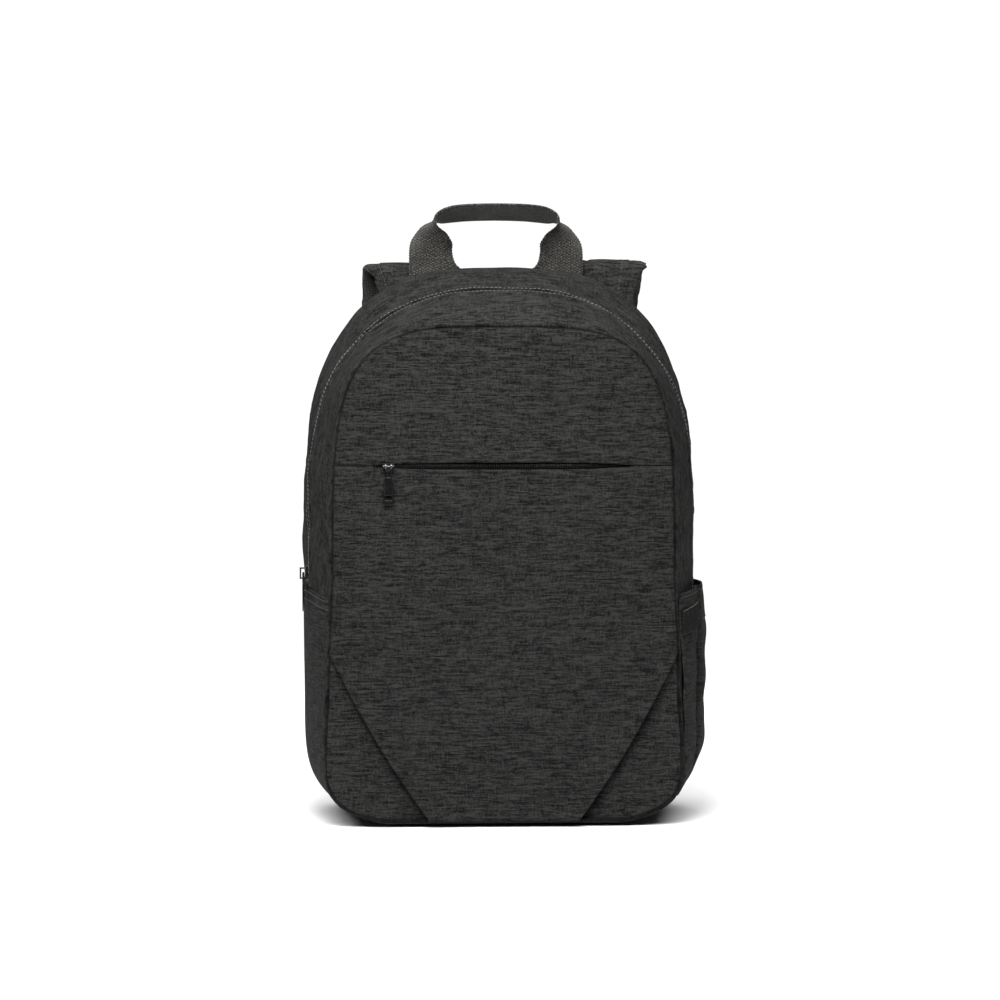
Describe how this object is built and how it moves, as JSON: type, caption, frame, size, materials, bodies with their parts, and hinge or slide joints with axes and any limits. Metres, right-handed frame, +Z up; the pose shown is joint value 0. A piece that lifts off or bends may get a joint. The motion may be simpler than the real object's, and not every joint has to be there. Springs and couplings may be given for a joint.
{
  "type": "laptop backpack",
  "caption": "Soft laptop backpack with a round-topped zipped compartment, front pocket, side pockets, webbing carry handle and padded shoulder straps.",
  "frame": {"origin": "on the floor under the middle of the bag, on its flat bottom", "axes": "+X to the right seen from the front, +Y towards the wearer's back, +Z up"},
  "size_m": [0.3138, 0.1887, 0.4736],
  "materials": {
    "shell_fabric": "charcoal melange polyester with fine horizontal streaks",
    "padding_fabric": "charcoal polyester over foam",
    "webbing": "coarse black woven webbing",
    "zip_tape": "black woven zip tape",
    "zip_coil": "black nylon coil",
    "zip_metal": "glossy black enamelled die-cast zinc",
    "buckle_plastic": "black acetal"
  },
  "bodies": {
    "root": {"back_panel": "padding_fabric", "rear_gusset": "shell_fabric", "front_gusset": "shell_fabric", "main_zip_tape": "zip_tape", "main_zip_coil": "zip_coil", "front_panel_upper": "shell_fabric", "front_panel_lower": "shell_fabric", "corner_panel_left": "shell_fabric", "corner_panel_right": "shell_fabric", "front_zip_coil": "zip_coil", "front_zip_tape": "zip_tape", "front_slider": "zip_metal", "main_slider": "zip_metal", "side_pocket_left": "shell_fabric", "side_pocket_right": "shell_fabric", "pocket_webbing_right": "webbing", "handle": "webbing", "shoulder_strap_left": "padding_fabric", "strap_buckle_left": "buckle_plastic", "strap_tab_left": "webbing", "strap_webbing_left": "webbing", "shoulder_strap_right": "padding_fabric", "strap_buckle_right": "buckle_plastic", "strap_tab_right": "webbing", "strap_webbing_right": "webbing"},
    "front_puller": {"front_puller": "zip_metal"},
    "main_puller": {"main_puller": "zip_metal"}
  },
  "joints": [
    {"name": "front_puller_swing", "type": "hinge", "parent": "root", "child": "front_puller", "pos_m": [-0.08682, -0.07035, 0.2715], "axis": [-1, 0, 0], "range_deg": [0, 165]},
    {"name": "main_puller_swing", "type": "hinge", "parent": "root", "child": "main_puller", "pos_m": [-0.15119, -0.01948, 0.188], "axis": [0, 1, 0], "range_deg": [0, 165]}
  ]
}
